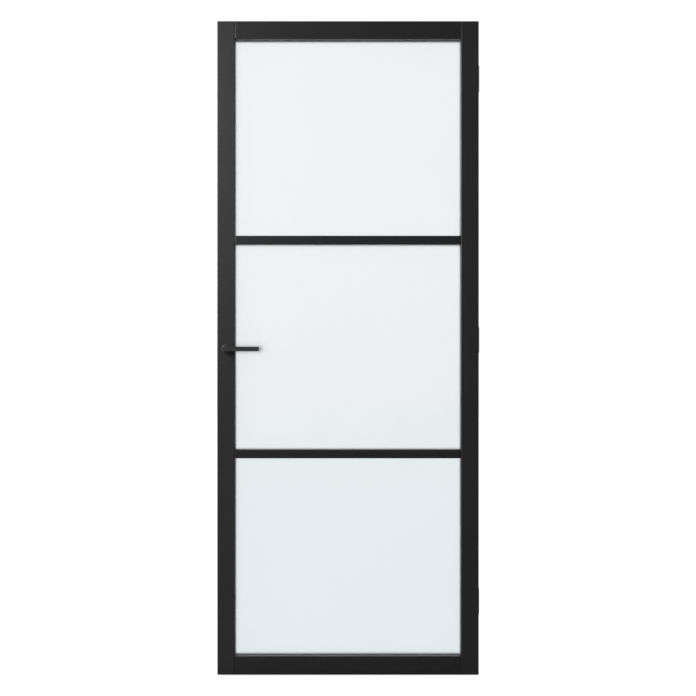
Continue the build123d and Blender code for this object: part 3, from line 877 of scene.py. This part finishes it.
class DOOR_OT_glazing(Operation, bpy.types.Operator):
    """Satin glass, and nylon for the blocks under the panes and for the levers' bushes"""

    bl_idname = "door.glazing"
    bl_label = "Glazing"

    def execute(self, context):
        finish = context.scene.door_finish
        paint(nodes_named("pane_"), satin_glass("satin_glass", finish))
        paint(["setting_blocks", "lever_bushes"], moulded_nylon("nylon", finish))
        return {"FINISHED"}


class DOOR_OT_metal(Operation, bpy.types.Operator):
    """Stainless hinges, coated levers, roses and edge plate, the latch and its case"""

    bl_idname = "door.metal"
    bl_label = "Hinges, levers and latch"

    def execute(self, context):
        finish = context.scene.door_finish
        coat = powder_coat("coated_metal", finish.coat_colour, finish.coat_roughness)
        black_steel = brushed_metal("blackened_steel", black_steel_colour, "Z", 0.34)
        zinc = brushed_metal("zinc_plate", zinc_colour, "X", 0.32)
        spring_steel = brushed_metal("spring_steel", (0.4, 0.4, 0.41), "X", 0.26)
        nickel = brushed_metal("nickel_plate", (0.68, 0.66, 0.62), "Y", 0.18)
        stainless = brushed_metal("stainless_steel", (0.62, 0.61, 0.6), "Z", 0.28)
        paint(nodes_named("hinge_pins", "hinge_bottom_", "hinge_middle_", "hinge_top_"), stainless)
        paint(nodes_named("lever_front", "lever_back", "rose_cap"), coat)
        paint(nodes_named("lock_forend", "latch_bolt"), coat)
        paint(["bead_pins"], black_steel)
        paint(nodes_named("lock_case", "rose_base", "follower", "spindle", "latch_lug"), zinc)
        paint(["latch_spring", "return_spring"], spring_steel)
        paint(["latch_magnet"], nickel)
        return {"FINISHED"}


class DOOR_OT_gaskets(Operation, bpy.types.Operator):
    """Gaskets with a rounded section round both faces of every pane"""

    bl_idname = "door.gaskets"
    bl_label = "Gaskets"

    def execute(self, context):
        fittings = context.scene.door_fittings
        rubber = soft_rubber("gasket_rubber", context.scene.door_finish)
        tree = gasket_tree("gasket")
        for name in nodes_named("gasket_"):
            low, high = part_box(name)
            values = {
                "Material": rubber,
                "Middle": (low + high) / 2,
                "Width": high.x - low.x,
                "Height": high.z - low.z,
                "Section width": fittings.gasket_width,
                "Section thickness": high.y - low.y,
                "Corner radius": fittings.gasket_corner,
            }
            place_piece(grown(f"formed_{name}", tree, values), "leaf", "gasket_rubber", name)
        return {"FINISHED"}


class DOOR_OT_screws(Operation, bpy.types.Operator):
    """Threaded screws in hinges, edge plate, latch case, roses and levers"""

    bl_idname = "door.screws"
    bl_label = "Screws"

    sizes = (
        "Head radius",
        "Shank radius",
        "Length",
        "Recess radius",
        "Recess depth",
        "Pitch",
        "Thread depth",
        "End slope",
    )

    def grow(self, tree, fittings, name, slot, material, axis, starts_high, headless=False):
        """Screws for one CAD node, along an axis.

        starts_high tells from a solid's box whether its head is at the axis's high end.
        """
        blunt_end, pointed_end = 20.0, 0.9
        boxes = solid_boxes(name)
        points = []
        for low, high in boxes:
            place = (low + high) / 2
            down = starts_high(low, high)
            place[axis] = high[axis] if down else low[axis]
            direction = Vector((0, 0, 0))
            direction[axis] = -1 if down else 1
            points.append((place, direction, (1, 1, 1)))
        low, high = boxes[0]
        across = (axis + 1) % 3
        head = (high[across] - low[across]) / 2
        values = {
            "Material": material,
            "Head radius": head,
            "Shank radius": head if headless else head * fittings.shank_share,
            "Length": high[axis] - low[axis],
            "Recess radius": head * fittings.recess_share,
            "Recess depth": head * fittings.recess_share,
            "Pitch": head * fittings.pitch_share,
            "Thread depth": head * fittings.thread_share,
            "End slope": blunt_end if headless else pointed_end,
        }
        body = "handle" if headless else "leaf"
        place_piece(grown(f"threaded_{name}", tree, values, points), body, slot, name)

    def execute(self, context):
        fittings = context.scene.door_fittings
        tree = instanced_tree("screws", self.sizes, screw_mesh)
        stainless = brushed_metal("stainless_screw", (0.6, 0.59, 0.58), "Z", 0.3)
        black = brushed_metal("blackened_screw", black_steel_colour, "Z", 0.34)
        zinc = brushed_metal("zinc_screw", zinc_colour, "X", 0.32)
        x_axis, y_axis, z_axis = range(3)
        middle_y = sum(corner.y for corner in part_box("lock_case")) / 2

        def always(low, high):
            return True

        def never(low, high):
            return False

        def behind(low, high):
            return low.y > middle_y

        for settings in (
            ("hinge_screws", "hinge_steel", stainless, x_axis, always),
            ("forend_screws", "blackened_steel", black, x_axis, never),
            ("lock_lid_screws", "steel", zinc, y_axis, always),
            ("rose_screws", "steel", zinc, y_axis, behind),
            ("lever_grub_screws", "blackened_steel", black, z_axis, never, True),
        ):
            self.grow(tree, fittings, *settings)
        return {"FINISHED"}


class DOOR_OT_dowels(Operation, bpy.types.Operator):
    """Grooved beech dowels in every joint of the frame"""

    bl_idname = "door.dowels"
    bl_label = "Dowels"

    sizes = ("Flutes", "Groove depth", "Bevel radius", "Bevel length")

    def execute(self, context):
        fittings = context.scene.door_fittings
        points = []
        for low, high in solid_boxes("frame_dowels"):
            size = high - low
            points.append(((low + high) / 2, (1, 0, 0), (size.y / 2, size.z / 2, size.x)))
        values = {
            "Material": beech("beech", context.scene.door_finish),
            "Flutes": float(fittings.dowel_flutes),
            "Groove depth": fittings.groove_share,
            "Bevel radius": fittings.bevel_radius_share,
            "Bevel length": fittings.bevel_length_share,
        }
        tree = instanced_tree("dowels", self.sizes, dowel_mesh)
        piece = grown("grooved_dowels", tree, values, points)
        place_piece(piece, "leaf", "beech", "frame_dowels")
        return {"FINISHED"}


class DOOR_OT_studio(Operation, bpy.types.Operator):
    """White studio with a pale floor, a main light, a narrow light on the left and the camera"""

    bl_idname = "door.studio"
    bl_label = "Studio"

    def execute(self, context):
        scene = context.scene
        studio = scene.door_studio
        scene.view_settings.view_transform = "Standard"
        self.make_world(scene, studio)
        self.make_floor(studio)
        self.make_key(studio)
        self.make_rim(studio)
        self.make_camera(scene, studio)
        return {"FINISHED"}

    def make_world(self, scene, studio):
        """White background; the studio in front of the door is dimmer than behind it."""
        world = bpy.data.worlds.new("studio")
        world.use_nodes = True
        world.node_tree.nodes.clear()
        scene.world = world
        graph = Graph(world.node_tree)
        direction = graph.node("ShaderNodeTexCoord", output="Generated")
        parts = graph.node("ShaderNodeSeparateXYZ", None, {"Vector": direction})
        behind = parts.other("Y").ramp(-0.25, 0.45)
        ceiling_level = 0.6
        overhead = ceiling_level * parts.other("Z").ramp(0.35, 0.95)
        level = studio.front_level + (1 - studio.front_level) * behind.larger(overhead)
        path = graph.node("ShaderNodeLightPath", output="Is Camera Ray")
        light = level.larger(path).larger(path.other("Is Transmission Ray"))
        background = graph.node(
            "ShaderNodeBackground", None, {"Color": (1.0, 1.0, 1.0, 1.0), "Strength": light}
        )
        graph.node("ShaderNodeOutputWorld", None, {"Surface": background})

    def make_floor(self, studio):
        """Pale floor that looks white from the camera, but for the door's faint shadow.

        It lights the door as a darker floor would, and looks pale through the panes.
        """
        lighting_grey, own_light, shadow_grey = 0.24, 0.9, 0.35
        glass_view = (0.91, 0.95, 0.965)
        reach = 12.0
        material = bpy.data.materials.new("studio_floor")
        material.use_nodes = True
        material.node_tree.nodes.clear()
        graph = Graph(material.node_tree)
        pale, shaded = (
            graph.node("ShaderNodeBsdfDiffuse", None, {"Color": rgba((grey, grey, grey))})
            for grey in (lighting_grey, shadow_grey)
        )
        white = graph.node("ShaderNodeEmission", None, {"Strength": own_light})
        bright = graph.node("ShaderNodeAddShader", None, {0: white, 1: shaded})
        through_glass = graph.node("ShaderNodeEmission", None, {"Color": rgba(glass_view)})
        path = graph.node("ShaderNodeLightPath", output="Is Camera Ray")
        direct = graph.node("ShaderNodeMixShader", None, {0: path, 1: pale, 2: bright})
        surface = graph.node(
            "ShaderNodeMixShader",
            None,
            {0: path.other("Is Transmission Ray"), 1: direct, 2: through_glass},
        )
        graph.node("ShaderNodeOutputMaterial", None, {"Surface": surface})
        floor_z = cad_box[0].z - studio.floor_gap
        mesh = bpy.data.meshes.new("floor")
        corners = [(-reach, -reach), (reach, -reach), (reach, reach), (-reach, reach)]
        mesh.from_pydata([(x, y, floor_z) for x, y in corners], [], [(0, 1, 2, 3)])
        mesh.materials.append(material)
        link("floor", mesh)

    def make_key(self, studio):
        """Main light, high on the left, so that the lever's shadow falls down to the right."""
        low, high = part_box("lever_front")
        lever = Vector((low.x, high.y, (low.z + high.z) / 2))
        towards_light = Vector((-0.567, -0.63, 0.53)).normalized()
        key = self.make_light("key", lever, towards_light * studio.key_distance)
        key.energy = studio.key_power
        key.size = studio.key_size

    def make_rim(self, studio):
        """Tall narrow light on the left, seen by the rounded edges that face it."""
        low, _ = cad_box
        aim, away = Vector((low.x, low.y, 1.55)), Vector((-1.9, -0.5, 0))
        rim = self.make_light("rim", aim, away)
        rim.shape = "RECTANGLE"
        rim.energy = studio.rim_power
        rim.size, rim.size_y = studio.rim_width, studio.rim_height

    def make_light(self, name, aim, away):
        """Area light that stands away from the point that it aims at."""
        data = bpy.data.lights.new(name, "AREA")
        light = link(name, data)
        light.location = aim + away
        light.rotation_euler = away.to_track_quat("Z", "Y").to_euler()
        return data

    def make_camera(self, scene, studio):
        """Level camera square to the leaf, with the leaf as large as in the photo."""
        low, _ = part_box("stile_lock_side")
        _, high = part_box("stile_hinge_side")
        data = bpy.data.cameras.new("camera")
        picture_pixels = 696
        width = picture_pixels * studio.picture_scale
        data.lens = data.sensor_width * studio.view_distance / width
        camera = link("camera", data)
        centre = (low + high) / 2
        camera.location = (centre.x, low.y - studio.view_distance, centre.z)
        camera.rotation_euler = (math.radians(90), 0, 0)
        scene.camera = camera


operators = (
    DOOR_OT_frame,
    DOOR_OT_glazing,
    DOOR_OT_gaskets,
    DOOR_OT_metal,
    DOOR_OT_screws,
    DOOR_OT_dowels,
    DOOR_OT_studio,
)


class DOOR_PT_panel(bpy.types.Panel):
    """Every step of dressing the door, in order"""

    bl_label = "Door"
    bl_space_type = "VIEW_3D"
    bl_region_type = "UI"
    bl_category = "Door"

    def draw(self, context):
        scene = context.scene
        for settings in (scene.door_finish, scene.door_fittings, scene.door_studio):
            box = self.layout.box()
            for name in settings.__annotations__:
                box.prop(settings, name)
        for operator in operators:
            self.layout.operator(operator.bl_idname)


classes = (DoorFinish, DoorFittings, DoorStudio, *operators, DOOR_PT_panel)


def register():
    for item in classes:
        bpy.utils.register_class(item)
    bpy.types.Scene.door_finish = PointerProperty(type=DoorFinish)
    bpy.types.Scene.door_fittings = PointerProperty(type=DoorFittings)
    bpy.types.Scene.door_studio = PointerProperty(type=DoorStudio)


def unregister():
    del bpy.types.Scene.door_studio
    del bpy.types.Scene.door_fittings
    del bpy.types.Scene.door_finish
    for item in reversed(classes):
        bpy.utils.unregister_class(item)


def main():
    """Run every step."""
    register()
    bpy.ops.door.frame()
    bpy.ops.door.glazing()
    bpy.ops.door.gaskets()
    bpy.ops.door.metal()
    bpy.ops.door.screws()
    bpy.ops.door.dowels()
    bpy.ops.door.studio()


if __name__ == "__main__":
    main()
